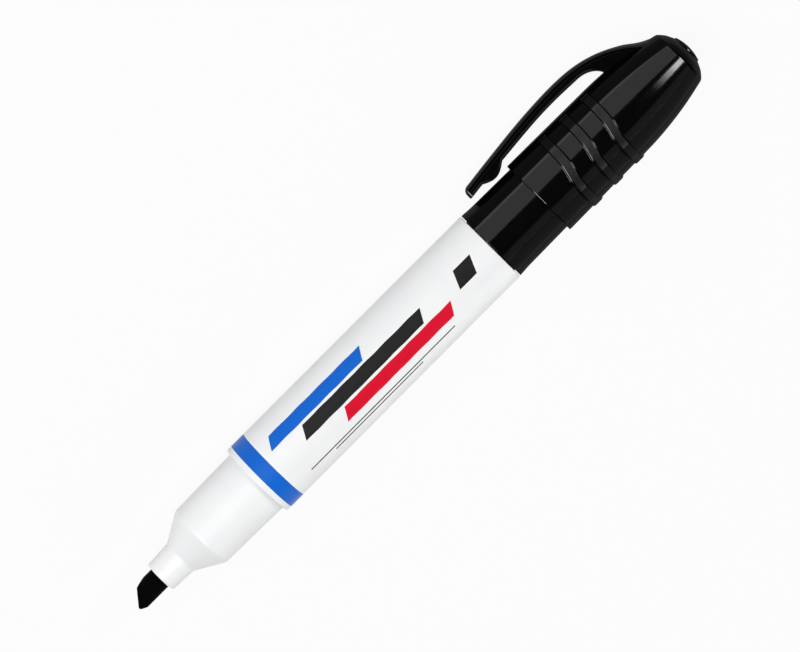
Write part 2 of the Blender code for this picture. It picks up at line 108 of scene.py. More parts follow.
def surface(name, colour, shade, smoothest, roughest, grain, depth, stretch=1.0):
    """A solid-coloured material with cloudy shade, uneven gloss and fine relief, all procedural.

    grain is the relief's size in mm, depth its height in mm, and stretch draws it out along the marker.
    """
    look = bpy.data.materials.new(name)
    look.use_nodes = True
    nodes = look.node_tree.nodes
    links = look.node_tree.links
    shader = nodes["Principled BSDF"]
    place = nodes.new("ShaderNodeTexCoord")
    per_mm = nodes.new("ShaderNodeMapping")
    per_mm.inputs["Scale"].default_value = (1 / MM / stretch, 1 / MM, 1 / MM)
    links.new(place.outputs["Object"], per_mm.inputs["Vector"])

    clouds = nodes.new("ShaderNodeTexNoise")
    clouds.inputs["Scale"].default_value = CLOUDS_PER_MM
    clouds.inputs["Detail"].default_value = CLOUD_DETAIL
    links.new(per_mm.outputs["Vector"], clouds.inputs["Vector"])
    tones = nodes.new("ShaderNodeValToRGB")
    tones.color_ramp.elements[0].position = CLOUD_SHADE_END
    tones.color_ramp.elements[0].color = (*shade, 1.0)
    tones.color_ramp.elements[1].position = CLOUD_COLOUR_START
    tones.color_ramp.elements[1].color = (*colour, 1.0)
    links.new(clouds.outputs["Fac"], tones.inputs["Fac"])
    links.new(tones.outputs["Color"], shader.inputs["Base Color"])

    relief = nodes.new("ShaderNodeTexNoise")
    relief.inputs["Scale"].default_value = 1.0 / grain
    relief.inputs["Detail"].default_value = RELIEF_DETAIL
    links.new(per_mm.outputs["Vector"], relief.inputs["Vector"])
    sheen = nodes.new("ShaderNodeMapRange")
    sheen.inputs["From Min"].default_value = RELIEF_LOW
    sheen.inputs["From Max"].default_value = RELIEF_HIGH
    sheen.inputs["To Min"].default_value = smoothest
    sheen.inputs["To Max"].default_value = roughest
    links.new(relief.outputs["Fac"], sheen.inputs["Value"])
    links.new(sheen.outputs["Result"], shader.inputs["Roughness"])
    bump = nodes.new("ShaderNodeBump")
    bump.inputs["Distance"].default_value = depth * MM
    links.new(relief.outputs["Fac"], bump.inputs["Height"])
    links.new(bump.outputs["Normal"], shader.inputs["Normal"])
    return look


def set_shader(look, socket, value):
    """Sets one plain number on a material's shader."""
    look.node_tree.nodes["Principled BSDF"].inputs[socket].default_value = value


def dress(piece, *looks):
    """Gives a piece its materials in place of any it has."""
    piece.data.materials.clear()
    for look in looks:
        piece.data.materials.append(look)


fibre = surface(
    "inked_fibre_look", FIBRE_HIGHLIGHT, INKED_FIBRE,
    smoothest=0.7, roughest=0.95, grain=0.05, depth=0.03, stretch=40,
)
dress(frame["nodes"]["ink_reservoir"], fibre)
film = surface(
    "clear_film_look", FILM_TINT, FILM_SHADE,
    smoothest=0.04, roughest=0.12, grain=0.6, depth=0.004, stretch=6,
)
set_shader(film, "Transmission Weight", FILM_CLEARNESS)
dress(frame["nodes"]["reservoir_film"], film)

# Barrel
# A white polypropylene tube, moulded with a slight draft, open at both ends for the nose and the tail plug.
# Its front edge is the shoulder round the nose, and its outside has the light gloss of a polished mould.
BARREL_LENGTH = along_axis(barrel_low.x)
BARREL_RADIUS = (barrel_high.z - barrel_low.z) / 2 / MM
BARREL_DRAFT = 0.07
BARREL_WALL = 1.4
BARREL_REAR_RADIUS = BARREL_RADIUS - BARREL_DRAFT
BARREL_BORE = BARREL_RADIUS - BARREL_WALL
NOSE_SEAT_DEPTH = 1.2
NOSE_SEAT_RADIUS = 7.25
EDGE_ROUND = 0.25
INNER_ROUND = 0.1
SIDES = 144
ROUND_STEPS = 5
ROUND_SHARE = 0.4
GUARD = 0.15
GUARD_SHARE = 0.45
WELD = 0.0001
SHARP_ANGLE = math.radians(38)
WHITE_PLASTIC = (0.875, 0.88, 0.885)
WHITE_SHADE = (0.85, 0.855, 0.865)


def rounded(corners):
    """Turns corners (radius, place along the axis, rounding) into an outline with rounded corners.

    A point just outside each rounding keeps the shading of the straight stretches flat.
    """
    outline = []
    for i, (radius, place, rounding) in enumerate(corners):
        corner = Vector((radius, place))
        if not rounding:
            outline.append(corner)
            continue
        back = Vector(corners[i - 1][:2]) - corner
        ahead = Vector(corners[(i + 1) % len(corners)][:2]) - corner
        back_way = min(rounding, ROUND_SHARE * back.length)
        ahead_way = min(rounding, ROUND_SHARE * ahead.length)
        start = corner + back.normalized() * back_way
        end = corner + ahead.normalized() * ahead_way
        outline.append(corner + back.normalized() * min(back_way + GUARD, GUARD_SHARE * back.length))
        for step in range(ROUND_STEPS + 1):
            t = step / ROUND_STEPS
            outline.append(start * (1 - t) ** 2 + corner * 2 * t * (1 - t) + end * t ** 2)
        outline.append(corner + ahead.normalized() * min(ahead_way + GUARD, GUARD_SHARE * ahead.length))
    return outline


def skinned(name, rings, looped=False):
    """A closed mesh through a row of rings of points in mm. A looped row joins its last to its first."""
    builder = bmesh.new()
    rows = [[builder.verts.new(Vector(point) * MM) for point in ring] for ring in rings]
    if looped:
        rows.append(rows[0])
    for near, far in zip(rows, rows[1:]):
        for i, point in enumerate(near):
            j = (i + 1) % len(near)
            builder.faces.new((point, near[j], far[j], far[i]))
    if not looped:
        builder.faces.new(rows[0])
        builder.faces.new(rows[-1])
    bmesh.ops.remove_doubles(builder, verts=builder.verts, dist=WELD * MM)
    bmesh.ops.recalc_face_normals(builder, faces=builder.faces)
    mesh = bpy.data.meshes.new(name)
    builder.to_mesh(mesh)
    builder.free()
    mesh.transform(lying)
    mesh.shade_smooth()
    mesh.set_sharp_from_angle(angle=SHARP_ANGLE)
    piece = bpy.data.objects.new(name, mesh)
    bpy.context.scene.collection.objects.link(piece)
    return piece


def turns_round(sides):
    """The angles of a number of even steps round the axis."""
    return [2 * math.pi * i / sides for i in range(sides)]


def turned(name, outline):
    """A piece of revolution: a closed outline of (radius, place along the axis) swept round the axis."""
    rings = [[(r * math.cos(a), r * math.sin(a), z) for a in turns_round(SIDES)] for r, z in outline]
    return skinned(name, rings, looped=True)


white = surface(
    "white_plastic_look", WHITE_PLASTIC, WHITE_SHADE,
    smoothest=0.30, roughest=0.40, grain=0.5, depth=0.0015,
)
barrel = turned("barrel_tube", rounded([
    (BARREL_BORE, BARREL_LENGTH, INNER_ROUND),
    (BARREL_REAR_RADIUS, BARREL_LENGTH, EDGE_ROUND),
    (BARREL_RADIUS, 0, EDGE_ROUND),
    (NOSE_SEAT_RADIUS, 0, INNER_ROUND),
    (NOSE_SEAT_RADIUS, NOSE_SEAT_DEPTH, 0),
    (BARREL_BORE, NOSE_SEAT_DEPTH, 0),
]))
dress(barrel, white)
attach(barrel, "marker_body")
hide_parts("barrel")

# Printing on the barrel
# Ink screened straight on the tube: a blue band by the shoulder and a plain sample of three marker strokes.
# The strokes have chisel-cut ends, and two fine rules and a colour patch go with them.
PRINT_THICKNESS = 0.012
PRINT_SINK = PRINT_THICKNESS / 4
PRINT_ROWS = 10
PRINT_COLUMNS_PER_MM = 2
PRINT_LEAST_COLUMNS = 8
INK_GLOSS = 0.2
INK_SHADE = 0.92
BLACK_INK_SHADE = 0.8
PRINT_BLUE = (0.003, 0.130, 0.62)
PRINT_RED = (0.72, 0.005, 0.028)
PRINT_BLACK = (0.012, 0.011, 0.012)
BAND_START = 1.17
BAND_WIDTH = 3.2
STROKE_HEIGHT = 2.7
STROKE_PITCH = 3.25
STROKE_CUT = 1.5
STROKE_WOBBLE = 0.035
WOBBLES_PER_MM = 1.1
RULE_COUNT = 2
RULE_HEIGHT = 0.28
RULE_PITCH = 3 * RULE_HEIGHT
RULE_LIFT = -2 * STROKE_PITCH
RULE_START = 9.0
RULE_END = 47.0
RULE_START_STEP = 6.0
RULE_END_STEP = 9.0
PATCH_START = 53.2
PATCH_LENGTH = 4.4
PATCH_HEIGHT = 0.8 * PATCH_LENGTH
VIEWER_TURN = math.pi / 2


def barrel_radius(z):
    """The tube's outside at a distance from its shoulder."""
    return BARREL_RADIUS - BARREL_DRAFT * z / BARREL_LENGTH


def printing_ink(name, colour, shade_share):
    """An ink: its colour in a thin coat with little gloss, slightly uneven along the tube."""
    ink = surface(
        name, colour, [shade_share * part for part in colour],
        smoothest=0.28, roughest=0.42, grain=0.35, depth=0.002, stretch=8,
    )
    set_shader(ink, "Specular IOR Level", INK_GLOSS)
    return ink


def printed(name, ink, start, end, height, lift, cut=0.0, wobble=0.0):
    """A patch of ink on the tube between two places, lift mm from the middle of the photographed side.

    cut slants both ends as a chisel nib does, and wobble lets the long edges wander.
    """
    columns = max(PRINT_LEAST_COLUMNS, int(end - start) * PRINT_COLUMNS_PER_MM)
    rings = []
    for c in range(columns + 1):
        under = []
        over = []
        for r in range(PRINT_ROWS + 1):
            side = 2 * r / PRINT_ROWS - 1
            z = start + (end - start) * c / columns + cut * side / 2
            edge = height / 2 * side + wobble * math.sin(WOBBLES_PER_MM * z + lift) * side ** 2
            turn = VIEWER_TURN - (lift + edge) / BARREL_RADIUS
            inner = barrel_radius(z) - PRINT_SINK
            outer = inner + PRINT_THICKNESS
            under.append((inner * math.cos(turn), inner * math.sin(turn), z))
            over.append((outer * math.cos(turn), outer * math.sin(turn), z))
        rings.append(under + over[::-1])
    patch = skinned(name, rings)
    dress(patch, ink)
    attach(patch, "marker_body")


blue_ink = printing_ink("blue_ink", PRINT_BLUE, INK_SHADE)
red_ink = printing_ink("red_ink", PRINT_RED, INK_SHADE)
black_ink = printing_ink("black_ink", PRINT_BLACK, BLACK_INK_SHADE)
BAND_END = BAND_START + BAND_WIDTH
band = turned("blue_band", [
    (barrel_radius(BAND_START) - PRINT_SINK, BAND_START),
    (barrel_radius(BAND_START) + PRINT_THICKNESS, BAND_START),
    (barrel_radius(BAND_END) + PRINT_THICKNESS, BAND_END),
    (barrel_radius(BAND_END) - PRINT_SINK, BAND_END),
])
dress(band, blue_ink)
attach(band, "marker_body")
STROKES = [
    ("blue_stroke", blue_ink, 7.0, 31.0),
    ("black_stroke", black_ink, 13.0, 44.0),
    ("red_stroke", red_ink, 21.0, 49.0),
]
for i, (name, ink, start, end) in enumerate(STROKES):
    printed(name, ink, start, end, STROKE_HEIGHT, (1 - i) * STROKE_PITCH, STROKE_CUT, STROKE_WOBBLE)
for i in range(RULE_COUNT):
    rule_start = RULE_START + i * RULE_START_STEP
    rule_end = RULE_END - i * RULE_END_STEP
    rule_lift = RULE_LIFT - i * RULE_PITCH
    printed(f"fine_rule_{i + 1}", black_ink, rule_start, rule_end, RULE_HEIGHT, rule_lift)
printed("colour_patch", black_ink, PATCH_START, PATCH_START + PATCH_LENGTH, PATCH_HEIGHT, 0.0, STROKE_CUT)

# Nose
# A white moulding pushed into the barrel's front: a plain base, a cone and a short neck that grips the nib.
# Its spigot and inner cone hold the front of the ink reservoir, and a fine ring line runs round the base.
NOSE_BASE_RADIUS = 7.05
NOSE_BASE_LENGTH = 14.9
NOSE_CONE_RADIUS = 6.80
NECK_REAR_RADIUS = 3.6
NECK_RADIUS = 3.32
CONE_LENGTH = 5.5
NECK_LENGTH = 5.4
CONE_ROUND = 0.45
NECK_ROUND = 0.5
NIB_BORE = 2.48
NIB_BORE_ROUND = 0.12
SPIGOT_RADIUS = 6.4
SPIGOT_LENGTH = 9.0
SPIGOT_ROUND = 0.3
SEAT_ROUND = 0.05
NOSE_CAVITY = 5.4
NOSE_WALL = 1.2
RING_LINE_PLACE = -4.2
RING_LINE_HALF_WIDTH = 0.12
RING_LINE_DEPTH = 0.035
RING_LINE_ROUND = 0.05
neck_rear = -NOSE_BASE_LENGTH - CONE_LENGTH
neck_front = neck_rear - NECK_LENGTH
ring_share = -RING_LINE_PLACE / NOSE_BASE_LENGTH
ring_radius = NOSE_BASE_RADIUS + (NOSE_CONE_RADIUS - NOSE_BASE_RADIUS) * ring_share
nose = turned("nose_moulding", rounded([
    (NOSE_CAVITY, SPIGOT_LENGTH, INNER_ROUND),
    (SPIGOT_RADIUS, SPIGOT_LENGTH, SPIGOT_ROUND),
    (SPIGOT_RADIUS, NOSE_SEAT_DEPTH, 0),
    (NOSE_BASE_RADIUS, NOSE_SEAT_DEPTH, SEAT_ROUND),
    (NOSE_BASE_RADIUS, 0, 0),
    (ring_radius, RING_LINE_PLACE + RING_LINE_HALF_WIDTH, RING_LINE_ROUND),
    (ring_radius - RING_LINE_DEPTH, RING_LINE_PLACE, 0),
    (ring_radius, RING_LINE_PLACE - RING_LINE_HALF_WIDTH, RING_LINE_ROUND),
    (NOSE_CONE_RADIUS, -NOSE_BASE_LENGTH, CONE_ROUND),
    (NECK_REAR_RADIUS, neck_rear, NECK_ROUND),
    (NECK_RADIUS, neck_front, CONE_ROUND),
    (NIB_BORE, neck_front, NIB_BORE_ROUND),
    (NIB_BORE, neck_rear + NOSE_WALL, INNER_ROUND),
    (NOSE_CAVITY, -NOSE_BASE_LENGTH + NOSE_WALL, INNER_ROUND),
]))
dress(nose, white)
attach(nose, "marker_body")
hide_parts("tip_holder")

# Nib
# A rod of bonded black felt, gripped in the nose's neck with its tail in the reservoir.
# Its end is cut to a chisel: two flats lean in, and the writing edge slants across with worn, soft corners.
NIB_RADIUS = 2.28
NIB_TIP = -32.5
NIB_TAIL = -7.0
NIB_TAIL_CHAMFER = 0.8
NIB_SIDES = 96
NIB_SIDE_STEPS = 60
NIB_END_STEPS = 10
CHISEL_EDGE = -1.45
CHISEL_THICKNESS = 1.5
CHISEL_LENGTH = 5.6
CHISEL_SLOPE = 0.84
CHISEL_HEEL_SLOPE = 1.7
CHISEL_SOFTNESS = 0.9
CHISEL_SHOULDER = 1.8
CHISEL_SHOULDER_SLOPE = 4.1
FLAT_SOFTNESS = 0.25
LEAST_SINE = 0.05
END_ROUND = 0.22
END_ROUND_SHARE = 0.4
SETTLE_ROUNDS = 6
FELT_FUZZ = 0.02
FUZZ_WAVES = ((23, 3.1), (17, -4.3))
FELT_BLACK = (0.0006, 0.0006, 0.0007)
FELT_GREY = (0.0016, 0.0016, 0.0018)
FELT_SHEEN = 0.01
FELT_GLOSS = 0.03


def soft_least(a, b, softness):
    """The smaller of two lengths, with the change from one to the other rounded off."""
    share = max(0.0, min(1.0, 0.5 + 0.5 * (b - a) / softness))
    return b + (a - b) * share - softness * share * (1 - share)


def nib_reach(turn, z):
    """How far the felt reaches at a turn round the axis: to the rod's side, or to a flat if that is nearer.

    Two crossed waves give the felt a slight fuzz where it leaves the neck.
    """
    tip_half = CHISEL_THICKNESS / 2
    flat_half = tip_half + (NIB_RADIUS - tip_half) * (z - NIB_TIP) / CHISEL_LENGTH
    to_flat = flat_half / max(abs(math.sin(turn)), LEAST_SINE)
    reach = soft_least(NIB_RADIUS, to_flat, FLAT_SOFTNESS)
    fuzz = math.prod(math.sin(per_turn * turn + per_mm * z) for per_turn, per_mm in FUZZ_WAVES)
    return reach + FELT_FUZZ * fuzz * max(0.0, min(1.0, neck_front - z))


def writing_edge(x):
    """Where the slanted end lies at a distance towards the clip, between a rounded heel and shoulder."""
    slant = (x - CHISEL_EDGE) * CHISEL_SLOPE
    shoulder_rise = (CHISEL_SHOULDER - CHISEL_EDGE) * CHISEL_SLOPE
    top_corner = shoulder_rise + (x - CHISEL_SHOULDER) * CHISEL_SHOULDER_SLOPE
    slant = -soft_least(-slant, -top_corner, CHISEL_SOFTNESS / 2)
    heel = (CHISEL_EDGE - x) * CHISEL_HEEL_SLOPE
    return NIB_TIP - END_ROUND - CHISEL_SOFTNESS / 4 - soft_least(-slant, -heel, CHISEL_SOFTNESS)


nib_turns = turns_round(NIB_SIDES)
nib_rings = []
for radius, setback in ((NIB_RADIUS - NIB_TAIL_CHAMFER, 0.0), (NIB_RADIUS, NIB_TAIL_CHAMFER)):
    nib_rings.append([(radius * math.cos(a), radius * math.sin(a), NIB_TAIL - setback) for a in nib_turns])
side_start = NIB_TAIL - NIB_TAIL_CHAMFER
side_ends = []
for a in nib_turns:
    end = NIB_TIP
    for settle in range(SETTLE_ROUNDS):
        end = writing_edge(nib_reach(a, end) * math.cos(a)) + END_ROUND
    side_ends.append(end)
for step in range(1, NIB_SIDE_STEPS + 1):
    ring = []
    for a, end in zip(nib_turns, side_ends):
        z = side_start + (end - side_start) * step / NIB_SIDE_STEPS
        reach = nib_reach(a, z)
        ring.append((reach * math.cos(a), reach * math.sin(a), z))
    nib_rings.append(ring)
rim = nib_rings[-1]
for step in range(1, NIB_END_STEPS + 1):
    inward = math.cos(math.pi / 2 * step / NIB_END_STEPS)
    rounded_off = min(1.0, step / NIB_END_STEPS / END_ROUND_SHARE)
    drop = END_ROUND * math.sin(math.pi / 2 * rounded_off)
    nib_rings.append([
        (x * inward, y * inward, writing_edge(x * inward) + END_ROUND - drop) for x, y, z in rim
    ])
nib = skinned("felt_nib", nib_rings)
felt = surface(
    "black_felt_look", FELT_GREY, FELT_BLACK,
    smoothest=0.75, roughest=0.95, grain=0.06, depth=0.05, stretch=4,
)
set_shader(felt, "Sheen Weight", FELT_SHEEN)
set_shader(felt, "Specular IOR Level", FELT_GLOSS)
dress(nib, felt)
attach(nib, "marker_body")
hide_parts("nib")

# Tail plug
# A black tapered plug moulded in glossy polypropylene, pressed into the barrel's rear, where it also
# stops the reservoir. The cap is pushed on it while the marker is in use.
TAIL_SPIGOT_START = 53.1
TAIL_STEP_PLACE = BARREL_LENGTH + 0.2
TAIL_STEP_ROUND = 0.06
TAIL_ROOT_END = BARREL_LENGTH + 2.4
TAIL_ROOT_ROUND = 1.0
TAIL_ROOT_RADIUS = 7.87
TAIL_BODY_RADIUS = 7.72
TAIL_END_RADIUS = 7.49
TAIL_END = along_axis(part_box("tail_plug")[0].x)
TAIL_ROUND = 1.2
TAIL_FLOOR = 1.3
GLOSS_BLACK = (0.0016, 0.0016, 0.0017)
GLOSS_SHADE = (0.0012, 0.0012, 0.0013)
GLOSS_FACING = 0.786
GLOSS_TURNED = 0.017
GLOSS_EDGE_ON = 0.0006
# How far the surface has turned away, from 0 when it faces the eye to 1 edge-on, where the gloss starts
# to fall and where it is gone. In between it is a share of the gloss of a turned surface.
GLOSS_FALL = 0.158
GLOSS_GONE = 0.8
GLOSS_BETWEEN = [(0.184, 2.0), (0.31, 1.45), (0.40, 1.1), (0.47, 0.95), (0.5, 1.7), (0.6, 0.7)]


def fade_gloss(look, facing_gloss, turned_gloss):
    """Lets the gloss fall where the surface turns away, to keep the table's white out of the black."""
    nodes = look.node_tree.nodes
    links = look.node_tree.links
    facing = nodes.new("ShaderNodeLayerWeight")
    facing.inputs["Blend"].default_value = 0.5
    fading = nodes.new("ShaderNodeValToRGB")
    ramp = fading.color_ramp.elements
    ramp[0].position = GLOSS_FALL
    ramp[0].color = (facing_gloss, facing_gloss, facing_gloss, 1)
    ramp[1].position = GLOSS_GONE
    ramp[1].color = (GLOSS_EDGE_ON, GLOSS_EDGE_ON, GLOSS_EDGE_ON, 1)
    for place, share in GLOSS_BETWEEN:
        level = share * turned_gloss
        ramp.new(place).color = (level, level, level, 1)
    links.new(facing.outputs["Facing"], fading.inputs["Fac"])
    links.new(fading.outputs["Color"], nodes["Principled BSDF"].inputs["Specular IOR Level"])


gloss = surface(
    "black_plastic_look", GLOSS_BLACK, GLOSS_SHADE,
    smoothest=0.09, roughest=0.13, grain=1.6, depth=0.0015,
)
fade_gloss(gloss, GLOSS_FACING, GLOSS_TURNED)
tail = turned("tail_moulding", rounded([
    (0, TAIL_END, 0),
    (TAIL_END_RADIUS, TAIL_END, TAIL_ROUND),
    (TAIL_BODY_RADIUS, TAIL_ROOT_END, TAIL_ROOT_ROUND),
    (TAIL_ROOT_RADIUS, TAIL_STEP_PLACE, TAIL_STEP_ROUND),
    (SPIGOT_RADIUS, TAIL_STEP_PLACE, 0),
    (SPIGOT_RADIUS, TAIL_SPIGOT_START, SPIGOT_ROUND),
    (NOSE_CAVITY, TAIL_SPIGOT_START, INNER_ROUND),
    (NOSE_CAVITY, TAIL_END - TAIL_FLOOR, SPIGOT_ROUND),
    (0, TAIL_END - TAIL_FLOOR, 0),
]))
dress(tail, gloss)
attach(tail, "marker_body")
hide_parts("tail_plug")

# Cap
# A black cap moulded in the same glossy plastic. Three wavy grip ribs with a dull, spark-eroded finish run
# round it, its crown narrows to a slightly raised button, and a stepped bore grips the tail and seal cup.
cap_low, cap_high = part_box("cap_shell")
CAP_MOUTH = along_axis(cap_high.x)
CAP_LENGTH = along_axis(cap_low.x) - CAP_MOUTH
CAP_MOUTH_RADIUS = 8.39
CAP_MOUTH_BORE_ROUND = 0.15
CAP_MOUTH_END = 0.8
CAP_LIP = 0.3
CAP_WAIST = 19.4
CAP_WAIST_RADIUS = 8.22
CAP_SIDES = 192
CROWN_CURVE_START = CAP_WAIST + 2.0
CROWN_FOOT = 36.9
CROWN_DROP = 2.22
CROWN_CURVE_STEPS = 22
CROWN_CORNER_INSET = 0.02
CROWN_CORNER_RISE = 0.1
CORNER_ROUND = 0.5
CROWN_SHOULDER_RADIUS = 4.7
CROWN_SHOULDER_RISE = 1.25
CROWN_SHOULDER_ROUND = 0.8
BUTTON_RADIUS = 2.95
BUTTON_FOOT = 38.92
BUTTON_FOOT_FLARE = 0.1
BUTTON_FOOT_ROUND = 0.12
BUTTON_STEP = 0.28
BUTTON_STEPS = 8
BUTTON_RIM = 0.3
BUTTON_RIM_RISE = 0.1
CAP_WALL = 1.05
POST_BORE = 7.74
POST_BORE_TAPER = 0.05
POST_BORE_START = 0.4
POST_DEPTH = 10.2
POST_STOP = 0.4
CHAMBER_RADIUS = 7.17
CHAMBER_ROUND = 1.0
CHAMBER_BENDS = (29, 24)
CHAMBER_BEND_ROUND = 2.0
SEAL_POCKET_RADIUS = 4.8
SEAL_POCKET_MOUTH = 35.2
SEAL_POCKET_ROUND = 0.2
RIB_COUNT = 3
RIB_FIRST = 7.36
RIB_PITCH = 5.56
RIB_WIDTH = 2.07
RIB_HEIGHT = 0.29
RIB_SLOPE = 0.16
RIB_MARGIN = 0.5
RIB_FOOT_ROUND = 0.08
RIB_TOP_ROUND = 0.2
RIB_DULL_SHARE = 0.97
RIB_GAP = math.radians(24)
RIB_RUN_OUT = math.radians(10)
WAVE_SWING = 0.64
WAVE_SHARPNESS = 1.5
WAVE_PEAK = math.radians(51.5)
STILL = 0.0
HALF_SWAY = 0.5
FULL_SWAY = 1.0
LAST_SWAY = 0.4
LAST_SWAY_PLACE = CAP_WAIST + 1.2
DULL_BLACK = (0.0035, 0.0035, 0.0038)
DULL_SHADE = (0.0025, 0.0025, 0.0027)
DULL_FACING = 0.63
DULL_TURNED = 0.024


def cap_radius(z):
    """The cap's plain outside at a distance from its mouth."""
    if z <= CAP_WAIST:
        return CAP_MOUTH_RADIUS + (CAP_WAIST_RADIUS - CAP_MOUTH_RADIUS) * z / CAP_WAIST
    share = (z - CAP_WAIST) / (CROWN_FOOT - CAP_WAIST)
    return CAP_WAIST_RADIUS - CROWN_DROP * share ** 2


def wave(turn):
    """How far the ribs swing towards the crown at a turn round the cap."""
    swing = math.tanh(WAVE_SHARPNESS * math.cos(2 * (turn - WAVE_PEAK)))
    return WAVE_SWING * swing / math.tanh(WAVE_SHARPNESS)


def rib_share(turn):
    """How much of the ribs' height is left at a turn: they run out under the clip."""
    from_clip = abs((turn + math.pi) % (2 * math.pi) - math.pi)
    share = max(0.0, min(1.0, (from_clip - RIB_GAP) / RIB_RUN_OUT))
    return share * share * (3 - 2 * share)


# The cap's outline runs from the mouth's bore over the outside to the crown and back through the inside.
# Each point has a radius, a distance from the mouth and the share of the ribs' wave that it follows.
cap_outline = []


def outline_on(points, sway):
    """Adds points (radius, distance from the mouth) to the cap's outline."""
    cap_outline.extend((radius, z, sway) for radius, z in points)


outline_on(rounded([
    (POST_BORE, -CAP_LIP, CAP_MOUTH_BORE_ROUND),
    (CAP_MOUTH_RADIUS, -CAP_LIP, EDGE_ROUND),
    (cap_radius(CAP_MOUTH_END), CAP_MOUTH_END, 0),
]), STILL)
for i in range(RIB_COUNT):
    middle = RIB_FIRST + i * RIB_PITCH
    before = middle - RIB_PITCH / 2
    outline_on([(cap_radius(before), before)], HALF_SWAY)
    foot = cap_radius(middle)
    rib_start = middle - RIB_WIDTH / 2
    rib_end = middle + RIB_WIDTH / 2
    rib = rounded([
        (foot, rib_start - RIB_MARGIN, 0),
        (foot, rib_start, RIB_FOOT_ROUND),
        (foot + RIB_HEIGHT, rib_start + RIB_SLOPE, RIB_TOP_ROUND),
        (foot + RIB_HEIGHT, rib_end - RIB_SLOPE, RIB_TOP_ROUND),
        (foot, rib_end, RIB_FOOT_ROUND),
        (foot, rib_end + RIB_MARGIN, 0),
    ])
    # The first and last corners only show the rib's feet which way the plain wall runs.
    outline_on(rib[1:-1], FULL_SWAY)
outline_on([(cap_radius(LAST_SWAY_PLACE), LAST_SWAY_PLACE)], LAST_SWAY)
crown_curve_end = CROWN_FOOT - CORNER_ROUND
for i in range(CROWN_CURVE_STEPS):
    z = CROWN_CURVE_START + (crown_curve_end - CROWN_CURVE_START) * i / (CROWN_CURVE_STEPS - 1)
    outline_on([(cap_radius(z), z)], STILL)
button_base = BUTTON_FOOT + BUTTON_STEP + BUTTON_RIM_RISE
button_reach = BUTTON_RADIUS - BUTTON_RIM
crown = rounded([
    (cap_radius(crown_curve_end), crown_curve_end, 0),
    (cap_radius(CROWN_FOOT) - CROWN_CORNER_INSET, CROWN_FOOT + CROWN_CORNER_RISE, CORNER_ROUND),
    (CROWN_SHOULDER_RADIUS, CROWN_FOOT + CROWN_SHOULDER_RISE, CROWN_SHOULDER_ROUND),
    (BUTTON_RADIUS + BUTTON_FOOT_FLARE, BUTTON_FOOT, BUTTON_FOOT_ROUND),
    (BUTTON_RADIUS, BUTTON_FOOT + BUTTON_STEP, INNER_ROUND),
    (button_reach, button_base, 0),
])
# The first corner is the curve's last point, which the outline has already.
outline_on(crown[1:], STILL)
for i in range(1, BUTTON_STEPS + 1):
    share = 1 - i / BUTTON_STEPS
    outline_on([(button_reach * share, button_base + (CAP_LENGTH - button_base) * (1 - share ** 2))], STILL)
outline_on(rounded([
    (0, CROWN_FOOT, 0),
    (SEAL_POCKET_RADIUS, CROWN_FOOT, SEAL_POCKET_ROUND),
    (SEAL_POCKET_RADIUS, SEAL_POCKET_MOUTH, SEAL_POCKET_ROUND),
    (cap_radius(SEAL_POCKET_MOUTH) - CAP_WALL, SEAL_POCKET_MOUTH, SEAL_POCKET_ROUND),
    *[(cap_radius(z) - CAP_WALL, z, CHAMBER_BEND_ROUND) for z in CHAMBER_BENDS],
    (CHAMBER_RADIUS, CAP_WAIST, CHAMBER_ROUND),
    (CHAMBER_RADIUS, POST_DEPTH + POST_STOP, INNER_ROUND),
    (POST_BORE - POST_BORE_TAPER, POST_DEPTH, INNER_ROUND),
    (POST_BORE, POST_BORE_START, 0),
]), STILL)
cap_rings = []
for radius, z, sway in cap_outline:
    plain = cap_radius(z)
    ring = []
    for a in turns_round(CAP_SIDES):
        reach = plain + (radius - plain) * rib_share(a) if sway == FULL_SWAY else radius
        ring.append((reach * math.cos(a), reach * math.sin(a), CAP_MOUTH + z + sway * wave(a)))
    cap_rings.append(ring)
cap = skinned("cap_moulding", cap_rings, looped=True)
dull = surface(
    "rib_finish", DULL_BLACK, DULL_SHADE,
    smoothest=0.26, roughest=0.38, grain=0.10, depth=0.012,
)
fade_gloss(dull, DULL_FACING, DULL_TURNED)
dress(cap, gloss, dull)
for face in cap.data.polygons:
    x, y, z = lying.inverted() @ face.center / MM
    from_mouth = z - CAP_MOUTH
    rib_top = cap_radius(from_mouth) + RIB_DULL_SHARE * RIB_HEIGHT
    if math.hypot(x, y) > rib_top and from_mouth < LAST_SWAY_PLACE:
        face.material_index = 1
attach(cap, "cap")
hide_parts("cap_shell")

# Seal cup
# A soft white polyethylene cup pressed into the pocket in the crown. When the marker is capped, its mouth
# slides over the nose's neck and keeps the nib from drying.
CUP_MOUTH = 19.5
CUP_MOUTH_FLARE = 0.3
CUP_MOUTH_DEPTH = 0.5
CUP_MOUTH_ROUND = 0.3
CUP_FLARE_ROUND = 0.2
CUP_END = 36.7
CUP_END_ROUND = 0.4
CUP_BORE = 3.8
CUP_RADIUS = 4.6
CUP_FLOOR = 1.2
SOFT_WHITE = (0.80, 0.80, 0.78)
SOFT_SHADE = (0.72, 0.72, 0.70)
cup = turned("seal_cup_moulding", [(r, CAP_MOUTH + z) for r, z in rounded([
    (0, CUP_END, 0),
    (CUP_RADIUS, CUP_END, CUP_END_ROUND),
    (CUP_RADIUS, CUP_MOUTH, CUP_MOUTH_ROUND),
    (CUP_BORE + CUP_MOUTH_FLARE, CUP_MOUTH, INNER_ROUND),
    (CUP_BORE, CUP_MOUTH + CUP_MOUTH_DEPTH, CUP_FLARE_ROUND),
    (CUP_BORE, CUP_END - CUP_FLOOR, CUP_END_ROUND),
    (0, CUP_END - CUP_FLOOR, 0),
])])
soft_plastic = surface(
    "soft_white_plastic_look", SOFT_WHITE, SOFT_SHADE,
    smoothest=0.42, roughest=0.55, grain=0.4, depth=0.003,
)
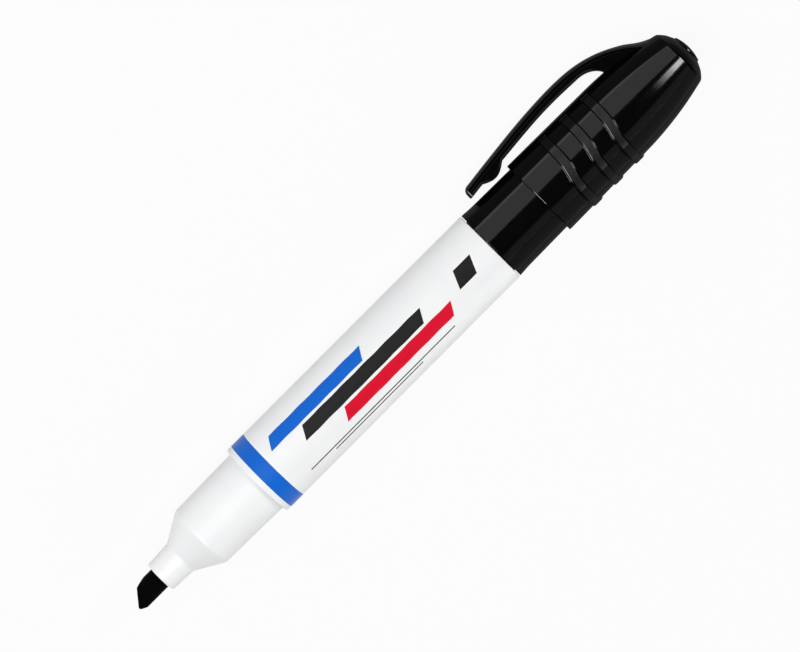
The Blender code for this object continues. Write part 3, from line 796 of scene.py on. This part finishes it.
dress(cup, soft_plastic)
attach(cup, "cap")
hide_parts("inner_seal_cup")

# Pocket clip
# A springy arm moulded in one with the cap: a wide strap over a narrower core, a rim round its tip and a
# round pad that grips cloth. It grows out of the crown.
# Heights are measured from the marker's axis, and places from the cap's mouth.
CLIP_HALF_WIDTH = 2.75
CORE_HALF_WIDTH = 2.15
STRAP_THICKNESS = 0.85
STRAP_CROWN = 0.6
STRAP_STEPS = 7
STRAP_BEVEL = 0.088
STRAP_CORNER = 0.066
STRAP_UNDERCUT = 0.01
LEAST_UNDER_STRAP = 0.5
GROOVE_DEPTH = 0.07
LIP_HEIGHT = 0.02
# The core's side under the strap and over its lower edge: how far down or up, and how far it stands out.
CORE_TOP_STEPS = [
    (0.12, -0.12),
    (0.32, LIP_HEIGHT),
    (0.42, LIP_HEIGHT),
    (0.52, -GROOVE_DEPTH),
    (0.60, -GROOVE_DEPTH),
]
CORE_LOW_STEPS = [
    (0.52, -GROOVE_DEPTH),
    (0.45, -GROOVE_DEPTH),
    (0.34, LIP_HEIGHT),
    (0.15, LIP_HEIGHT),
    (0.05, -0.08),
    (0.0, -0.25),
]
CORE_LEAST = 1.2
CLIP_TIP = -9.4
TIP_ROUND = 1.15
TIP_CORNER = 0.75
TIP_UNDER_ROUND = 0.3
TIP_RIM = 0.95
TIP_RIM_STEP = 0.12
PAD_FRONT = -5.9
PAD_REAR = -0.1
PAD_LOWEST = 8.32
OPENING_BEND = 20.4
OPENING_BEND_HEIGHT = 10.55
OPENING_END = 25.2
ROOT_END = 36.0
ROOT_DEPTH = 0.9
WRAP_START = 28.0
WRAP_END = 34.5
CLOSE_STEPS = 24
WIDE_STEPS = 4
CLIP_FACING = 0.43
CLIP_TURNED = 0.05
STRAP_LINE = [
    (CLIP_TIP, 10.98),
    (0.0, 12.09),
    (8.0, 12.87),
    (16.0, 13.20),
    (21.5, 12.82),
    (26.2, 11.60),
    (30.7, 9.42),
    (33.6, 7.35),
    (35.2, 6.50),
    (36.2, 6.05),
]
CORE_LINE = [
    (CLIP_TIP, 8.80),
    (PAD_FRONT, 9.22),
    (0.0, 9.77),
    (9.4, 10.57),
    (15.0, 10.72),
    (OPENING_BEND, OPENING_BEND_HEIGHT),
]


def height_on(line, z):
    """The height of a smooth curve through a few points (place, height)."""
    i = 0
    while i < len(line) - 2 and z > line[i + 1][0]:
        i += 1
    (z0, h0), (z1, h1) = line[i], line[i + 1]

    def slope(k):
        back, ahead = line[max(k - 1, 0)], line[min(k + 1, len(line) - 1)]
        return (ahead[1] - back[1]) / (ahead[0] - back[0])

    t = (z - z0) / (z1 - z0)
    bend = (slope(i) * (1 - t) - slope(i + 1) * t) * (z1 - z0) + (h1 - h0) * (2 * t - 1)
    return h0 + (h1 - h0) * t + bend * t * (1 - t)


def tip_drop(z, rounding):
    """How far a rounded corner at the clip's tip has fallen away at a place."""
    overlap = min(rounding, max(0.0, CLIP_TIP + rounding - z))
    return rounding - math.sqrt(rounding ** 2 - overlap ** 2)


def on_pad(z):
    """1 at the lowest point of the gripping pad, falling to 0 at its ends."""
    share = max(0.0, min(1.0, (z - PAD_FRONT) / (PAD_REAR - PAD_FRONT)))
    return math.sin(math.pi * share)


def underside(z):
    """The clip's lower face: tip, pad, arm, the round end of the opening, then inside the cap's wall."""
    if z >= OPENING_END:
        return cap_radius(z) - ROOT_DEPTH
    if z > OPENING_BEND:
        floor = cap_radius(OPENING_END) - ROOT_DEPTH
        share = (z - OPENING_BEND) / (OPENING_END - OPENING_BEND)
        return floor + (OPENING_BEND_HEIGHT - floor) * math.sqrt(1 - share ** 2)
    pad_depth = height_on(CORE_LINE, (PAD_FRONT + PAD_REAR) / 2) - PAD_LOWEST
    return height_on(CORE_LINE, z) + tip_drop(z, TIP_UNDER_ROUND) - pad_depth * on_pad(z)


def clip_ring(z):
    """The clip's cross-section at a place: points from the middle of the top, round by the viewer's side."""
    top = height_on(STRAP_LINE, z) - tip_drop(z, TIP_ROUND)
    low = underside(z)
    wide = CLIP_HALF_WIDTH - tip_drop(z, TIP_CORNER)
    off_rim = 1 - max(0.0, min(1.0, (CLIP_TIP + TIP_RIM - z) / TIP_RIM_STEP))
    core = wide + (CORE_HALF_WIDTH - wide) * off_rim
    strap_low = max(top - STRAP_THICKNESS, low + LEAST_UNDER_STRAP)
    half = []
    for step in range(1, STRAP_STEPS + 1):
        bow = math.pi / 2 * step / STRAP_STEPS
        half.append((wide * math.sin(bow), top - STRAP_CROWN * (1 - math.cos(bow))))
    half += [
        (wide, strap_low + STRAP_BEVEL),
        (wide - STRAP_BEVEL * off_rim, strap_low),
        (core + STRAP_CORNER * off_rim, strap_low - STRAP_UNDERCUT),
    ]
    fit = min(1.0, (strap_low - low) / CORE_LEAST) * off_rim
    for below, step in CORE_TOP_STEPS:
        half.append((core + step * off_rim, strap_low - below * fit))
    for above, step in CORE_LOW_STEPS:
        half.append((core + min(step, -GROOVE_DEPTH * on_pad(z)) * off_rim, low + above * fit))
    wrap = max(0.0, min(1.0, (z - WRAP_START) / (WRAP_END - WRAP_START)))
    body = cap_radius(max(z, WRAP_START))
    half = [(side, height - wrap * (body - math.sqrt(body ** 2 - side ** 2))) for side, height in half]
    other_half = [(-side, height) for side, height in reversed(half)]
    section = [(0.0, top), *half, (0.0, low), *other_half]
    return [(height, side, CAP_MOUTH + z) for side, height in section]


def eased(start, end, count):
    """Places from start to end that crowd together at both ends."""
    return [start + (end - start) * (1 - math.cos(math.pi * i / count)) / 2 for i in range(count)]


tip_end = CLIP_TIP + 2 * TIP_ROUND
stations = [
    *eased(CLIP_TIP, tip_end, CLOSE_STEPS),
    *eased(tip_end, PAD_FRONT, WIDE_STEPS),
    *eased(PAD_FRONT, PAD_REAR, CLOSE_STEPS),
    *eased(PAD_REAR, OPENING_BEND, CLOSE_STEPS),
    *eased(OPENING_BEND, OPENING_END, CLOSE_STEPS),
    *eased(OPENING_END, ROOT_END, CLOSE_STEPS),
    ROOT_END,
]
clip = skinned("clip_moulding", [clip_ring(z) for z in stations])
clip_gloss = surface(
    "clip_plastic_look", GLOSS_BLACK, GLOSS_SHADE,
    smoothest=0.10, roughest=0.16, grain=1.2, depth=0.0015,
)
fade_gloss(clip_gloss, CLIP_FACING, CLIP_TURNED)
dress(clip, clip_gloss)


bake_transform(clip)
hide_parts("pocket_clip")

# Table
# A plain pale board under the marker, with the faint tooth of matt paper.
# It shows as near white to the eye and in reflections, and takes the marker's shadow faintly.
TABLE_HALF = 1.5
TABLE_PALE = (0.64, 0.64, 0.64)
TABLE_SHADE = (0.63, 0.63, 0.63)
TABLE_GLOW = 0.93
floor_mesh = bpy.data.meshes.new("table_board")
table_corners = [(-1, -1), (1, -1), (1, 1), (-1, 1)]
floor_mesh.from_pydata([(TABLE_HALF * x, TABLE_HALF * y, 0) for x, y in table_corners], [], [(0, 1, 2, 3)])
floor = bpy.data.objects.new("table_board", floor_mesh)
bpy.context.scene.collection.objects.link(floor)
paper = surface(
    "table_paper", TABLE_PALE, TABLE_SHADE,
    smoothest=0.85, roughest=0.95, grain=0.8, depth=0.003,
)
set_shader(paper, "Specular IOR Level", 0.0)
paper_nodes = paper.node_tree.nodes
paper_links = paper.node_tree.links


def larger(first, second):
    """The larger of two of the paper's values."""
    node = paper_nodes.new("ShaderNodeMath")
    node.operation = "MAXIMUM"
    paper_links.new(first, node.inputs[0])
    paper_links.new(second, node.inputs[1])
    return node.outputs["Value"]


seen = paper_nodes.new("ShaderNodeLightPath")
eye_or_gloss = larger(seen.outputs["Is Camera Ray"], seen.outputs["Is Glossy Ray"])
any_sight = larger(eye_or_gloss, seen.outputs["Is Transmission Ray"])
glow_share = paper_nodes.new("ShaderNodeMath")
glow_share.operation = "MULTIPLY"
glow_share.inputs[1].default_value = TABLE_GLOW
paper_links.new(any_sight, glow_share.inputs[0])
glow = paper_nodes.new("ShaderNodeEmission")
paper_or_glow = paper_nodes.new("ShaderNodeMixShader")
paper_links.new(glow_share.outputs["Value"], paper_or_glow.inputs["Fac"])
paper_links.new(paper_nodes["Principled BSDF"].outputs["BSDF"], paper_or_glow.inputs[1])
paper_links.new(glow.outputs["Emission"], paper_or_glow.inputs[2])
paper_links.new(paper_or_glow.outputs["Shader"], paper_nodes["Material Output"].inputs["Surface"])
dress(floor, paper)

# Studio light
# Softboxes round the table. A strip on the clip's side draws the sharp grey band on the black plastic, and
# two walls across from it draw the dim lower one. A light towards the nib brightens the white pieces. One
# beyond the cap, with three ever dimmer strips at its edge, draws the fading glint on the crown.
PICTURE_MIDDLE = 39.55
NEAR = 0.6
FAR = 0.9
GLINT_LEAN = -15
GLINT_LEVEL = 7.7
GLINT_HEIGHT = 0.26
GLINT_FADE = (0.5, 0.22, 0.06)
GLINT_FADE_START = 29.2
GLINT_FADE_STEP = 2.5
GLINT_FADE_WIDTH = 0.04
AIR_LEVEL = 0.01
marker_middle = lying @ (Vector((0, 0, PICTURE_MIDDLE)) * MM)


def softbox(name, toward, distance, width, height, brightness):
    """A rectangular softbox that faces the marker, with its width along the marker, in metres."""
    lamp = bpy.data.lights.new(name, "AREA")
    lamp.shape = "RECTANGLE"
    lamp.size = width
    lamp.size_y = height
    lamp.energy = brightness * math.pi * width * height
    stand = bpy.data.objects.new(name, lamp)
    bpy.context.scene.collection.objects.link(stand)
    behind = Vector(toward).normalized()
    across = (to_cap - behind * to_cap.dot(behind)).normalized()
    turn = Matrix((across, behind.cross(across), behind)).transposed().to_4x4()
    turn.translation = marker_middle + behind * distance
    stand.matrix_world = turn


def leaning(degrees_to_clip, degrees_to_cap=0.0):
    """A direction that leans from the photographed side towards the clip and the cap."""
    tip = math.radians(degrees_to_clip)
    swing = math.radians(degrees_to_cap)
    across = to_viewer * math.cos(tip) + to_clip * math.sin(tip)
    return across * math.cos(swing) + to_cap * math.sin(swing)


softbox("clip_side_strip", leaning(36), NEAR, width=1.00, height=0.58, brightness=0.476)
softbox("far_side_wall", leaning(-56.55), NEAR, width=0.90, height=0.272, brightness=0.1155)
softbox("far_side_low_wall", leaning(-94.6, 15.8), NEAR, width=0.45, height=0.557, brightness=2.3)
softbox("nib_end_light", leaning(-3, -27), FAR, width=0.42, height=0.70, brightness=6.9)
softbox(
    "cap_end_light", leaning(GLINT_LEAN, 41.85), FAR,
    width=0.361, height=GLINT_HEIGHT, brightness=GLINT_LEVEL,
)
for i, share in enumerate(GLINT_FADE):
    toward = leaning(GLINT_LEAN, GLINT_FADE_START - i * GLINT_FADE_STEP)
    softbox(
        f"cap_end_fade_{i + 1}", toward, FAR,
        width=GLINT_FADE_WIDTH, height=GLINT_HEIGHT, brightness=GLINT_LEVEL * share,
    )
world = bpy.data.worlds.new("studio_air")
bpy.context.scene.world = world
world.use_nodes = True
world.node_tree.nodes["Background"].inputs["Color"].default_value = (1, 1, 1, 1)
world.node_tree.nodes["Background"].inputs["Strength"].default_value = AIR_LEVEL

# Camera
# A long lens, nearly square on to the photographed side, so that the clip shows in profile. It is turned so
# that the marker runs up to the right, and the marker fills the picture as it does in the photograph.
CAMERA_ROLL = math.radians(45.1)
CAMERA_DISTANCE = 1.0
CAMERA_LEAN = 0.025
CAMERA_LENS = 239.6
CAMERA_SENSOR = 36
CAMERA_NEAREST = 0.01
AIM_TO_CLIP = 1.45
aim = marker_middle + to_clip * AIM_TO_CLIP * MM
eye = aim + to_viewer * CAMERA_DISTANCE + to_cap * CAMERA_LEAN
up = to_cap * math.sin(CAMERA_ROLL) + to_clip * math.cos(CAMERA_ROLL)
back = (eye - aim).normalized()
right = up.cross(back).normalized()
camera_data = bpy.data.cameras.new("camera")
camera_data.lens = CAMERA_LENS
camera_data.sensor_width = CAMERA_SENSOR
camera_data.clip_start = CAMERA_NEAREST
camera = bpy.data.objects.new("camera", camera_data)
bpy.context.scene.collection.objects.link(camera)
view = Matrix((right, back.cross(right), back)).transposed().to_4x4()
view.translation = eye
camera.matrix_world = view
bpy.context.scene.camera = camera
bpy.context.scene.view_settings.view_transform = "Standard"
